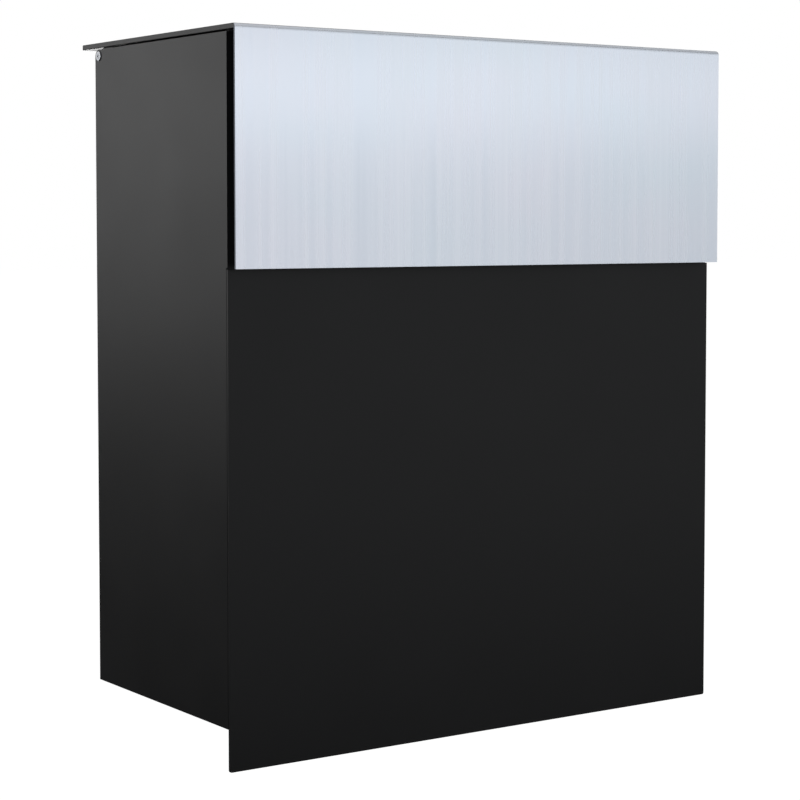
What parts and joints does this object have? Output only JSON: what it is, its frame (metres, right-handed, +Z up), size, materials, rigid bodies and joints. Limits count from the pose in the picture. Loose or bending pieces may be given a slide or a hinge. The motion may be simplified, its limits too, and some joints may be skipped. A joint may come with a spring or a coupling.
{
  "type": "parcel drop box",
  "caption": "Wall-mounted parcel drop box with a hinged lid, a brushed steel flap over the drop mouth, a lower door that tilts forward and a cam lock.",
  "frame": {"origin": "centre of the four wall fixings, on the wall plane at the rear faces of the spacers", "axes": "+Z up, -Y out of the front, +X to the right seen from the front"},
  "size_m": [0.4014, 0.2175, 0.4694],
  "materials": {
    "black_powder_coat": "fine satin powder coat",
    "brushed_stainless": "vertical fine brushed",
    "zinc_plated_steel": "bright zinc plated",
    "black_rubber": "matte",
    "grey_nylon": "moulded, matte",
    "nickel_plated_lock": "satin nickel plated"
  },
  "bodies": {
    "body": {"left_side_panel": "black_powder_coat", "right_side_panel": "black_powder_coat", "back_panel": "black_powder_coat", "floor_panel": "black_powder_coat", "front_fascia": "black_powder_coat", "front_post_left": "black_powder_coat", "rear_post_left": "black_powder_coat", "hinge_bracket_left": "black_powder_coat", "hinge_pin_left": "zinc_plated_steel", "front_post_right": "black_powder_coat", "rear_post_right": "black_powder_coat", "hinge_bracket_right": "black_powder_coat", "hinge_pin_right": "zinc_plated_steel", "wall_spacer_lower_left": "grey_nylon", "wall_spacer_lower_right": "grey_nylon", "wall_spacer_upper_left": "grey_nylon", "wall_spacer_upper_right": "grey_nylon", "fascia_rivets": "zinc_plated_steel", "back_rivets": "zinc_plated_steel", "door_bumpers": "black_rubber", "lid_pads": "black_rubber", "lock_housing": "nickel_plated_lock", "lock_nut": "zinc_plated_steel"},
    "lid": {"lid_plate": "black_powder_coat", "steel_flap": "brushed_stainless", "lid_rivets": "zinc_plated_steel", "lid_ear_left": "black_powder_coat", "pivot_screw_left": "zinc_plated_steel", "pivot_nut_left": "zinc_plated_steel", "lid_ear_right": "black_powder_coat", "pivot_screw_right": "zinc_plated_steel", "pivot_nut_right": "zinc_plated_steel"},
    "door": {"door_panel": "black_powder_coat", "door_top_channel": "black_powder_coat", "door_stiffener_left": "black_powder_coat", "door_lug_left": "black_powder_coat", "door_stiffener_right": "black_powder_coat", "door_lug_right": "black_powder_coat"},
    "lock": {"lock_plug": "nickel_plated_lock", "lock_cam": "zinc_plated_steel", "cam_screw": "zinc_plated_steel"}
  },
  "joints": [
    {"name": "lid_hinge", "type": "hinge", "parent": "body", "child": "lid", "pos_m": [0, -0.0305, 0.21425], "axis": [-1, 0, 0], "range_deg": [0, 80]},
    {"name": "door_hinge", "type": "hinge", "parent": "body", "child": "door", "pos_m": [0, -0.2005, -0.22375], "axis": [1, 0, 0], "range_deg": [0, 110]},
    {"name": "lock_turn", "type": "hinge", "parent": "body", "child": "lock", "pos_m": [0, -0.2005, 0.09925], "axis": [0, 1, 0], "range_deg": [0, 90]}
  ]
}
